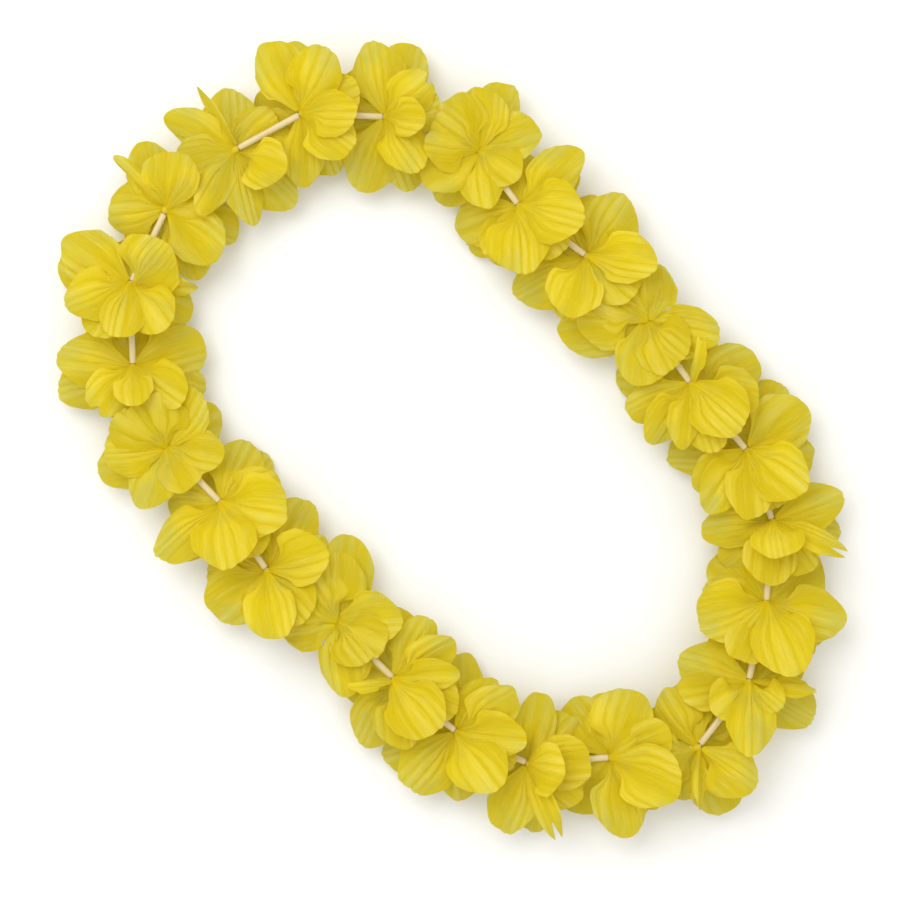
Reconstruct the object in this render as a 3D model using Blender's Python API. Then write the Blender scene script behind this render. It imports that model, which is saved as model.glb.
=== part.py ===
"""A party lei lying flat: 24 yellow cloth blossoms and 24 straw spacers on one string, in a closed oval loop.

Metres in the scene, millimetres in the values below. The loop lies on z = 0 with its long way along Y.
Each blossom is two layers of cloth: five petals above, and below them the three or four of the lower
layer that the upper ones leave free. It leans along the string, so that the petals on its leading side
rise over the next straw, and those on its trailing side droop under the one before it, where the lowest
lie on the table with the middle of their rims.
"""

import math
from collections import namedtuple

import bmesh
import bpy
from mathutils import Vector

MM = 0.001

# The loop
PHOTO_MM_PER_PX = 0.5
LOOP_MIDDLE_PX = (458, 444)
LONG_WAY_DEG = 134.2  # the oval's long way in the photograph, counter-clockwise from its right
BOX_MIDDLE = (-0.5, -3.2)  # of the whole lei, from the middle of the loop
STRING_HEIGHT = 18.6
STRING_THICK = 1.0
STRING_SIDES = 5
STRING_BEND = 4.0  # how far from a blossom's middle the string meets the straw's own line

# The straws
TUBE_OUTER = 3.2
TUBE_INNER = 2.2
TUBE_SIDES = 6
GAP = 0.3

# The blossoms
PETALS_A_LAYER = 5
CLOTH = 0.7
HUB_RADIUS = 4.4
HUB_BORE = 1.1
HUB_THICK = 3.4
HUB_SIDES = 6
ROOT_RADIUS = 3.2
ROOT_HALF_WIDTH = 1.5
ARCH = 1.7
CAMBER = 1.4
RUFFLE = 0.3
EDGE_ROUND = 0.36  # how far the rim falls back at a petal's two sides, as a share of its length
EDGE_POWER = 2.4
NOTCH_SPAN = 0.3  # half-width of a rim's notch, as a share of the petal's half-width
SHOULDER = 0.72  # where a petal reaches its full width, as a share of its length
CLAW = 1.5
SURFACE_STEP = 0.02  # of a petal's length or half-width, for its slope
LAYER_STEP = 2.2
LAYER_DROP = 0.8

# Rows of a petal from root to rim, each with its places across the petal
ROOT_ROW = (0.0, (-1.0, 1.0))
WAIST_ROW = (0.5, (-1.0, 0.0, 1.0))
TOE_ROW = (0.85, (-1.0, -0.6, 0.0, 0.6, 1.0))  # only where the rim lies on the table
RIM_ROW = (1.0, (-1.0, -0.6, 0.0, 0.6, 1.0))
RESTING = -20.0  # the rise of a petal that would dip under the table, and so lies on it

SHARP_DEG = 50.0

FABRIC_YELLOW = (0.83, 0.69, 0.035, 1.0)
STRAW_CREAM = (0.86, 0.80, 0.62, 1.0)
STRING_WHITE = (0.85, 0.84, 0.80, 1.0)

# Middles of the blossoms in the photograph, clockwise round the loop from its top left
BLOSSOM_MIDDLES_PX = (
    (303, 113), (387, 117), (476, 149), (520, 207), (588, 257), (645, 320),
    (692, 385), (748, 452), (773, 523), (766, 604), (748, 683), (697, 748),
    (612, 757), (530, 764), (458, 733), (395, 680), (335, 620), (268, 572),
    (222, 504), (165, 445), (133, 368), (130, 285), (166, 210), (235, 150),
)
LAST_CLOCKWISE = 12  # blossoms 1 to 12 lean clockwise round the loop, the others the opposite way
LAST_MIRRORED = 22  # blossoms 13 to 22 have the forms of the other side, mirrored

# One petal: its turn from the right-hand side towards the lean in degrees, how far it reaches and how
# wide it is in plan, its tip's height over the string, its roll about its own length, its rim's notch.
# A form's first five petals are its upper layer.
Petal = namedtuple("Petal", "turn reach width rise roll notch", defaults=(0.0, 0.0))

FORMS = {
    "pleated": (
        Petal(340, 38, 29, -2), Petal(41, 33, 29, 13), Petal(88, 29, 27, 20, 0, 0.12),
        Petal(135, 30, 26, 14, 0, 0.1), Petal(187, 37, 12, 1, 50),
        Petal(3, 40, 26, -9), Petal(245, 30, 26, -18), Petal(300, 28, 26, RESTING),
    ),
    "pleated_covered": (
        Petal(340, 38, 29, -2), Petal(41, 33, 29, 13), Petal(88, 29, 27, 20, 0, 0.12),
        Petal(135, 30, 26, 14, 0, 0.1), Petal(187, 37, 12, 1, 50),
        Petal(3, 40, 26, -9), Petal(250, 27, 30, 9), Petal(300, 26, 26, RESTING),
    ),
    "ruffled": (
        Petal(195, 38, 31, -8), Petal(332, 36, 30, -7), Petal(30, 33, 22, 8, 0, 0.12),
        Petal(122, 23, 29, 20), Petal(66, 25, 22, 15),
        Petal(9, 39, 25, -9), Petal(151, 37, 22, 2, 0, 0.1), Petal(265, 32, 30, RESTING),
    ),
    "doubled_back": (
        Petal(205, 33, 26, 6), Petal(350, 37, 26, 6), Petal(305, 24, 26, 8),
        Petal(245, 25, 26, 10), Petal(42, 31, 25, 8),
        Petal(118, 27, 28, 12), Petal(184, 35, 26, -6), Petal(270, 28, 28, RESTING),
    ),
    "broad": (
        Petal(3, 42, 17, 3), Petal(62, 32, 33, 15), Petal(132, 34, 33, 12),
        Petal(212, 33, 30, -12.5), Petal(330, 30, 30, -14),
        Petal(190, 33, 26, -15), Petal(30, 30, 24, 0), Petal(275, 30, 28, RESTING),
    ),
    "open": (
        Petal(198, 39, 28, -5), Petal(347, 36, 30, -4), Petal(143, 32, 31, 15),
        Petal(53, 34, 32, 16), Petal(270, 30, 28, -16),
        Petal(225, 33, 28, -14), Petal(315, 33, 28, -13), Petal(95, 25, 24, 14),
    ),
    "bow": (
        Petal(200, 38, 24, 3), Petal(300, 29, 32, 4.5), Petal(335, 27, 24, 1),
        Petal(250, 29, 30, 4), Petal(212, 42, 26, -12),
        Petal(128, 30, 25, 13), Petal(75, 25, 22, 17), Petal(35, 33, 26, 6),
    ),
    "crested": (
        Petal(192, 32, 20, 0), Petal(162, 35, 16, 4, 20), Petal(140, 34, 16, 11, 12),
        Petal(80, 34, 31, 14), Petal(312, 23, 12, 14, 60, 0.12),
        Petal(13, 35, 27, -6), Petal(112, 34, 27, 7), Petal(230, 32, 28, -15),
        Petal(310, 30, 28, RESTING),
    ),
    "domed": (
        Petal(345, 37, 31, -3), Petal(177, 33, 18, 2), Petal(155, 37, 20, 6),
        Petal(118, 35, 24, 11), Petal(68, 35, 30, 15),
        Petal(25, 33, 25, -6), Petal(200, 34, 26, -11), Petal(275, 32, 30, RESTING),
    ),
    "forked": (
        Petal(346, 37, 22, 1), Petal(181, 33, 17, -1), Petal(92, 18, 26, 18),
        Petal(30, 40, 12, 11, 40, 0.25), Petal(225, 32, 28, -14),
        Petal(102, 30, 27, 8), Petal(10, 36, 24, -9), Petal(290, 32, 28, RESTING),
    ),
    "spread": (
        Petal(0, 41, 25, 1), Petal(152, 35, 33, 8), Petal(62, 35, 33, 15),
        Petal(216, 34, 28, -12), Petal(320, 33, 28, -13),
        Petal(45, 40, 24, -1), Petal(108, 32, 28, 9), Petal(265, 32, 28, RESTING),
    ),
    "lobed": (
        Petal(178, 37, 25, 0), Petal(342, 35, 9, 6, 55, 0.1), Petal(8, 39, 22, -7),
        Petal(17, 20, 18, 9), Petal(60, 35, 26, 16),
        Petal(150, 34, 22, 2), Petal(225, 32, 28, -14), Petal(305, 32, 28, RESTING),
    ),
    "turned": (
        Petal(345, 33, 24, 5), Petal(0, 38, 30, -8), Petal(178, 35, 20, -4),
        Petal(28, 31, 9, 8, 45), Petal(192, 33, 24, -12),
        Petal(96, 22, 18, 4.5), Petal(235, 32, 28, -16), Petal(290, 32, 28, RESTING),
    ),
    "backward": (
        Petal(252, 25, 31, 15), Petal(186, 37, 10, 4, 50), Petal(18, 36, 26, 2),
        Petal(140, 31, 28, -10), Petal(310, 27, 25, -10),
        Petal(209, 36, 26, -9), Petal(45, 32, 26, -11), Petal(95, 26, 24, -10),
    ),
    "leafy": (
        Petal(283, 31, 30, -5), Petal(182, 35, 8, 6, 60), Petal(154, 40, 14, 3, 20),
        Petal(340, 24, 18, 9), Petal(355, 37, 28, -6),
        Petal(60, 38, 14, 8, 20), Petal(33, 36, 12, 3, 15), Petal(205, 33, 28, -12),
    ),
}

# The form at each place round the loop
LOOP_FORMS = (
    "pleated", "ruffled", "doubled_back", "broad", "open", "bow",
    "crested", "domed", "forked", "spread", "lobed", "turned",
    "spread", "forked", "domed", "crested", "bow", "open",
    "broad", "doubled_back", "ruffled", "pleated_covered", "backward", "leafy",
)


def clear_scene():
    for thing in list(bpy.data.objects):
        bpy.data.objects.remove(thing, do_unlink=True)


def material(name, colour, roughness):
    made = bpy.data.materials.new(name)
    made.use_nodes = True
    shader = made.node_tree.nodes["Principled BSDF"]
    shader.inputs["Base Color"].default_value = colour
    shader.inputs["Roughness"].default_value = roughness
    shader.inputs["Metallic"].default_value = 0.0
    made.diffuse_color = colour
    return made


def add_object(name, points, faces, finish):
    """A mesh object from points in millimetres."""
    mesh = bpy.data.meshes.new(name)
    mesh.from_pydata([tuple(c * MM for c in p) for p in points], [], faces)
    mesh.materials.append(finish)
    mesh.validate()
    mesh.shade_smooth()
    mesh.set_sharp_from_angle(angle=math.radians(SHARP_DEG))
    thing = bpy.data.objects.new(name, mesh)
    bpy.context.scene.collection.objects.link(thing)
    return thing


def from_photo(pixel):
    """A place in the photograph as millimetres in the part's own frame, whose +Y is the long way."""
    right = (pixel[0] - LOOP_MIDDLE_PX[0]) * PHOTO_MM_PER_PX
    up = (LOOP_MIDDLE_PX[1] - pixel[1]) * PHOTO_MM_PER_PX
    turn = math.radians(90.0 - LONG_WAY_DEG)
    return Vector((right * math.cos(turn) - up * math.sin(turn) - BOX_MIDDLE[0],
                   right * math.sin(turn) + up * math.cos(turn) - BOX_MIDDLE[1],
                   STRING_HEIGHT))


def string_way(middles, i):
    """The string's direction through blossom i, clockwise round the loop."""
    return (middles[(i + 1) % len(middles)] - middles[i - 1]).normalized()


def blossom_axes(middles, i):
    """(right, lean) of blossom i: lean runs along the string, and right is a quarter turn counter-clockwise."""
    lean = string_way(middles, i)
    if i >= LAST_CLOCKWISE:
        lean = -lean
    return Vector((-lean.y, lean.x, 0.0)), lean


def width_share(u):
    """Half-width of a petal at u from root to rim, as a share of its widest."""
    return math.sin(0.5 * math.pi * min(1.0, u / SHOULDER)) ** CLAW if u > 0 else 0.0


def petal_point(petal, u, v):
    """A point of the petal's middle surface from the blossom's middle, as (right, lean, up)."""
    turn = math.radians(petal.turn)
    roll = math.radians(petal.roll)
    side_up = 1.0 if petal.rise > 0 else -1.0
    root = Vector((ROOT_RADIUS * math.cos(turn), 0.0, side_up * ROOT_RADIUS * abs(math.sin(turn))))
    tip = Vector((petal.reach * math.cos(turn), petal.reach * math.sin(turn), petal.rise))
    rim = 1.0 - EDGE_ROUND * abs(v) ** EDGE_POWER - petal.notch * max(0.0, 1.0 - abs(v) / NOTCH_SPAN)
    s = u * rim
    half = ROOT_HALF_WIDTH + (petal.width / 2 - ROOT_HALF_WIDTH) * width_share(u)
    across = Vector((-math.sin(turn) * math.cos(roll), math.cos(turn) * math.cos(roll), math.sin(roll)))
    point = root + (tip - root) * s + across * (v * half)
    point.z = root.z + (petal.rise - root.z) * (1.0 - (1.0 - s) ** ARCH) + across.z * v * half
    crown = -CAMBER * v * v + RUFFLE * math.cos(2.0 * math.pi * v + turn)
    point.z += u * crown * math.cos(roll)
    return point


def petal_normal(petal, u, v):
    inner, outer = max(0.0, u - SURFACE_STEP), min(1.0, u + SURFACE_STEP)
    left, right = max(-1.0, v - SURFACE_STEP), min(1.0, v + SURFACE_STEP)
    along = petal_point(petal, outer, v) - petal_point(petal, inner, v)
    across = petal_point(petal, u, right) - petal_point(petal, u, left)
    return along.cross(across).normalized()


def row_faces(lower, upper, width_lower, width_upper):
    """Triangles between two rows of points, given as (index, place across)."""
    faces = []
    i = j = 0
    while i < len(lower) - 1 or j < len(upper) - 1:
        step_upper = i == len(lower) - 1 or (
            j < len(upper) - 1 and width_upper[j + 1] <= width_lower[i + 1]
        )
        if step_upper:
            faces.append((lower[i], upper[j + 1], upper[j]))
            j += 1
        else:
            faces.append((lower[i], lower[i + 1], upper[j]))
            i += 1
    return faces


def petal_shell(petal, place):
    """(points, faces) of one petal as a closed thin sheet. place turns a blossom's point into the loop's."""
    places = [ROOT_ROW, WAIST_ROW, RIM_ROW]
    if petal.rise <= RESTING:
        places.insert(2, TOE_ROW)
    top, bottom, rows = [], [], []
    for u, across in places:
        row = []
        for v in across:
            middle = place(petal_point(petal, u, v))
            tip = place(petal_point(petal, u, v) + petal_normal(petal, u, v))
            normal = tip - middle
            if normal.z < 0:
                normal = -normal
            if middle.z < CLOTH / 2:
                middle.z = CLOTH / 2
                normal = Vector((0.0, 0.0, 1.0))
            row.append(len(top))
            top.append(middle + normal * (CLOTH / 2))
            low = middle - normal * (CLOTH / 2)
            low.z = max(0.0, low.z)
            bottom.append(low)
        rows.append((row, across))
    sheet = []
    for (lower, across_lower), (upper, across_upper) in zip(rows, rows[1:]):
        sheet += row_faces(lower, upper, across_lower, across_upper)
    shift = len(top)
    outline = (
        [row[0] for row, _ in rows]
        + list(rows[-1][0][1:])
        + [row[-1] for row, _ in reversed(rows[:-1])]
    )
    faces = list(sheet)
    faces += [(c + shift, b + shift, a + shift) for a, b, c in sheet]
    for a, b in zip(outline, outline[1:] + outline[:1]):
        faces += [(a, b, b + shift), (a, b + shift, a + shift)]
    return top + bottom, faces


def facing_out(points, faces):
    """The faces, turned round if they enclose a negative volume."""
    volume = sum(points[a].dot(points[b].cross(points[c])) for a, b, c in faces)
    return faces if volume > 0 else [tuple(reversed(face)) for face in faces]


def ring_sweep(stations, outer, inner, sides, closed):
    """A tube, or a solid rod with inner 0, along (middle, right, up) stations."""
    radii = [outer] if inner == 0 else [outer, inner]
    points, faces = [], []
    for middle, right, up in stations:
        for radius in radii:
            for k in range(sides):
                turn = 2.0 * math.pi * (k + 0.5) / sides
                points.append(middle + right * (radius * math.cos(turn)) + up * (radius * math.sin(turn)))
    per = sides * len(radii)
    count = len(stations)

    def index(station, layer, k):
        return (station % count) * per + layer * sides + k % sides

    for station in range(count if closed else count - 1):
        for layer in range(len(radii)):
            for k in range(sides):
                quad = (index(station, layer, k), index(station, layer, k + 1),
                        index(station + 1, layer, k + 1), index(station + 1, layer, k))
                faces.append(quad if layer == 0 else tuple(reversed(quad)))
    if not closed and inner:
        for k in range(sides):
            faces.append((index(0, 0, k + 1), index(0, 0, k), index(0, 1, k), index(0, 1, k + 1)))
            last = count - 1
            faces.append((index(last, 0, k), index(last, 0, k + 1), index(last, 1, k + 1), index(last, 1, k)))
    return points, faces


def triangulated(faces):
    made = []
    for face in faces:
        made += [(face[0], face[n], face[n + 1]) for n in range(1, len(face) - 1)]
    return made


def hub_solid(middle, right, lean):
    """The blossom's middle: a small thick ring of cloth round the string."""
    half = lean * (HUB_THICK / 2)
    up = Vector((0.0, 0.0, 1.0))
    stations = [(middle - half, right, up), (middle + half, right, up)]
    points, faces = ring_sweep(stations, HUB_RADIUS, HUB_BORE, HUB_SIDES, False)
    return points, triangulated(faces)


def blossom_shells(middles, i):
    """[(points, faces)] of blossom i: its hub, then its petals."""
    right, lean = blossom_axes(middles, i)
    middle = middles[i]
    mirror = -1.0 if LAST_CLOCKWISE <= i < LAST_MIRRORED else 1.0

    shells = [hub_solid(middle, right, lean)]
    for n, petal in enumerate(FORMS[LOOP_FORMS[i]]):
        layer = 0.5 if n < PETALS_A_LAYER else -0.5

        def place(point):
            return (middle + right * (mirror * point.x) + lean * (point.y - layer * LAYER_STEP)
                    + Vector((0.0, 0.0, point.z + layer * LAYER_DROP)))

        shells.append(petal_shell(petal, place))
    return [(points, facing_out(points, faces)) for points, faces in shells]


def keep_main_body(mesh):
    """Drops the walls of sealed hollows, which fills them, and loose scraps: only the largest body stays."""
    work = bmesh.new()
    work.from_mesh(mesh)
    bodies, seen = [], set()
    for start in work.faces:
        if start in seen:
            continue
        body, waiting = [], [start]
        seen.add(start)
        while waiting:
            face = waiting.pop()
            body.append(face)
            for edge in face.edges:
                for other in edge.link_faces:
                    if other not in seen:
                        seen.add(other)
                        waiting.append(other)
        bodies.append(body)
    bodies.sort(key=len)
    for body in bodies[:-1]:
        bmesh.ops.delete(work, geom=body, context="FACES")
    work.to_mesh(mesh)
    work.free()


def fuse(name, shells, finish):
    """One closed solid from overlapping shells."""
    helpers = bpy.data.collections.new(name + "_petals")
    bpy.context.scene.collection.children.link(helpers)
    base = add_object(name, *shells[0], finish)
    for n, (points, faces) in enumerate(shells[1:]):
        petal = add_object(f"{name}_petal_{n}", points, faces, finish)
        bpy.context.scene.collection.objects.unlink(petal)
        helpers.objects.link(petal)
    union = base.modifiers.new("petals", "BOOLEAN")
    union.operation = "UNION"
    union.operand_type = "COLLECTION"
    union.collection = helpers
    union.solver = "EXACT"
    bpy.context.view_layer.update()
    graph = bpy.context.evaluated_depsgraph_get()
    joined = bpy.data.meshes.new_from_object(base.evaluated_get(graph))
    base.modifiers.clear()
    base.data = joined
    keep_main_body(joined)
    for petal in list(helpers.objects):
        bpy.data.objects.remove(petal, do_unlink=True)
    bpy.data.collections.remove(helpers)
    joined.set_sharp_from_angle(angle=math.radians(SHARP_DEG))
    return base


def tube_shell(middles, i):
    """(points, faces) of the straw from blossom i to the next, its ends clear of both hubs."""
    along = (middles[(i + 1) % len(middles)] - middles[i]).normalized()
    right = Vector((-along.y, along.x, 0.0))
    up = Vector((0.0, 0.0, 1.0))
    stations = []
    for place, way in ((i, 1.0), ((i + 1) % len(middles), -1.0)):
        bend = along.angle(string_way(middles, place))
        back = (HUB_THICK / 2 + GAP + TUBE_OUTER / 2 * math.sin(bend)) / math.cos(bend)
        stations.append((middles[place] + along * (way * back), right, up))
    points, faces = ring_sweep(stations, TUBE_OUTER / 2, TUBE_INNER / 2, TUBE_SIDES, False)
    return points, facing_out(points, triangulated(faces))


def string_shell(middles):
    """(points, faces) of the string: a closed rod that bends just outside each hub."""
    up = Vector((0.0, 0.0, 1.0))
    stations = []
    for i, middle in enumerate(middles):
        way = string_way(middles, i)
        before = (middle - middles[i - 1]).normalized()
        after = (middles[(i + 1) % len(middles)] - middle).normalized()
        for place, along in ((middle - before * STRING_BEND, before), (middle - way * (HUB_THICK / 2), way),
                             (middle + way * (HUB_THICK / 2), way), (middle + after * STRING_BEND, after)):
            stations.append((place, Vector((-along.y, along.x, 0.0)), up))
    points, faces = ring_sweep(stations, STRING_THICK / 2, 0, STRING_SIDES, True)
    return points, facing_out(points, triangulated(faces))


def build():
    clear_scene()
    fabric = material("petal_fabric", FABRIC_YELLOW, roughness=0.75)
    straw = material("spacer_plastic", STRAW_CREAM, roughness=0.35)
    cord = material("string_thread", STRING_WHITE, roughness=0.8)
    middles = [from_photo(pixel) for pixel in BLOSSOM_MIDDLES_PX]
    for i in range(len(middles)):
        fuse(f"blossom_{i + 1:02d}", blossom_shells(middles, i), fabric)
        add_object(f"spacer_tube_{i + 1:02d}", *tube_shell(middles, i), straw)
    add_object("string_loop", *string_shell(middles), cord)


build()
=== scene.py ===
# %% [markdown]
# # Dressing a cloth lei
#
# A lei is a loop of blossoms on a string. This one is the party kind: each blossom is thin yellow cloth,
# stamped out in five-lobed layers and pressed into pleats, and short straws keep the blossoms apart.
#
# The solid model comes first and is never touched. This lesson makes the fine pieces that are seen in its
# place, gives each a finish, and lights them.

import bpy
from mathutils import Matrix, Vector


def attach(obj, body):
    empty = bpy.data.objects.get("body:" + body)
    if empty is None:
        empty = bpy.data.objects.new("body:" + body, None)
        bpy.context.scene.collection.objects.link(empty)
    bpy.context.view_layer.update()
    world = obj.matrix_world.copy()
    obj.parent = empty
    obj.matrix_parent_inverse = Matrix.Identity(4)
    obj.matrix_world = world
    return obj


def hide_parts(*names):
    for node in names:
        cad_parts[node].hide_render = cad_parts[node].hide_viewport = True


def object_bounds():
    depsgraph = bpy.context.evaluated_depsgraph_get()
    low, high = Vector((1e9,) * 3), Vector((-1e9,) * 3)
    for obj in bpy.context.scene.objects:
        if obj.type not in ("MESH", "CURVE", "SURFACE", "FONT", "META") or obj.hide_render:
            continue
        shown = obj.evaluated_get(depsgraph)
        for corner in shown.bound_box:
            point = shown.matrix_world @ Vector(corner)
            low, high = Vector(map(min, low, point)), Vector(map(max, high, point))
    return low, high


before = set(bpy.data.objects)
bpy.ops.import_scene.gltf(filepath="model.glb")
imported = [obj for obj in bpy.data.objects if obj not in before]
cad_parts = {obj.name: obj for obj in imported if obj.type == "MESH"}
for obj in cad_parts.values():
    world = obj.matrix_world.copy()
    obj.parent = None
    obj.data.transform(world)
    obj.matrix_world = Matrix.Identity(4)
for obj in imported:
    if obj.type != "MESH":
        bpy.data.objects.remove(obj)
solid_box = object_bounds()
print("solid model:", [round(high - low, 4) for low, high in zip(*solid_box)], "metres")

# %% Modules
import math
import random
from collections import namedtuple

import bpy
import numpy as np
from mathutils import Vector

MM = 0.001

# %% [markdown]
# ## Where things lie
#
# The lei was laid flat and photographed from straight above. Its blossoms could be placed by eye in the
# model, but it is surer to note each one's middle in the photograph, and to turn those places into the
# model's own millimetres: one scale, one turn and one shift do it. The solid model was laid out the same
# way, so both agree.

# %% Places round the loop
PHOTO_MM_PER_PX = 0.5
LOOP_MIDDLE_PX = (458, 444)
LONG_WAY_DEG = 134.2
BOX_MIDDLE = (-0.5, -3.2)
STRING_HEIGHT = 18.6
PHOTO_TURN = math.radians(90.0 - LONG_WAY_DEG)

BLOSSOM_MIDDLES_PX = (
    (303, 113), (387, 117), (476, 149), (520, 207), (588, 257), (645, 320),
    (692, 385), (748, 452), (773, 523), (766, 604), (748, 683), (697, 748),
    (612, 757), (530, 764), (458, 733), (395, 680), (335, 620), (268, 572),
    (222, 504), (165, 445), (133, 368), (130, 285), (166, 210), (235, 150),
)


def from_photo(pixel):
    """A place in the photograph as a point at the string's height, in millimetres."""
    right = (pixel[0] - LOOP_MIDDLE_PX[0]) * PHOTO_MM_PER_PX
    up = (LOOP_MIDDLE_PX[1] - pixel[1]) * PHOTO_MM_PER_PX
    return np.array((
        right * math.cos(PHOTO_TURN) - up * math.sin(PHOTO_TURN) - BOX_MIDDLE[0],
        right * math.sin(PHOTO_TURN) + up * math.cos(PHOTO_TURN) - BOX_MIDDLE[1],
        STRING_HEIGHT,
    ))


middles = [from_photo(pixel) for pixel in BLOSSOM_MIDDLES_PX]
count = len(middles)
round_the_loop = sum(np.linalg.norm(middles[i] - middles[i - 1]) for i in range(count))
print(count, "blossoms on", round(round_the_loop), "mm of string")

# %% [markdown]
# ## The camera
#
# A copy stand holds its camera high over the table, so the blossoms near the edge of the picture are seen
# almost as straight from above as those in the middle. A long lens far away does the same here. An
# orthographic camera would be simpler, but then a raised petal wouldn't look any nearer. The camera is
# turned about its own axis, because the model's long way runs slantwise in the picture.

# %% Camera
PHOTO_SIDE_PX = 900
CAMERA_HEIGHT = 1.5
picture_middle = from_photo((PHOTO_SIDE_PX / 2, PHOTO_SIDE_PX / 2)) * MM
picture_width = PHOTO_SIDE_PX * PHOTO_MM_PER_PX * MM

camera_data = bpy.data.cameras.new("copy_stand_camera")
camera_data.sensor_width = 36.0
camera_data.lens = camera_data.sensor_width * CAMERA_HEIGHT / picture_width
camera_data.clip_end = 10.0
camera = bpy.data.objects.new("copy_stand_camera", camera_data)
camera.location = Vector(picture_middle) + Vector((0.0, 0.0, CAMERA_HEIGHT))
camera.rotation_euler = (0.0, 0.0, PHOTO_TURN)
bpy.context.scene.collection.objects.link(camera)
bpy.context.scene.camera = camera
print("lens", round(camera_data.lens), "mm at", CAMERA_HEIGHT, "m")

# %% [markdown]
# ## The form of a petal
#
# The real petal is flat cloth, stamped to a fan with a round rim, then pressed hot in a ribbed mould. The
# ribs fan out from the middle, with round ridges and sharp valleys. Cloth simulation could bend it, but
# stamped cloth this stiff keeps the mould's shape, so a formula follows it better: a curved sheet first,
# then pleats from the root to the rim, then a slow wave along the rim.
#
# Six numbers describe a petal: its turn, how far it reaches, how wide it is, how high its tip is over
# the string, its roll about its own length, and the notch in its rim. The last two are 0 where they aren't
# given. A blossom has ten petals: the first five above and the other five below. A resting petal's tip is
# lower than the table, so that its end lies flat on it.

# %% The petals of each form
Petal = namedtuple("Petal", "turn reach width rise roll notch", defaults=(0.0, 0.0))
RESTING = -20.0

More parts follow.
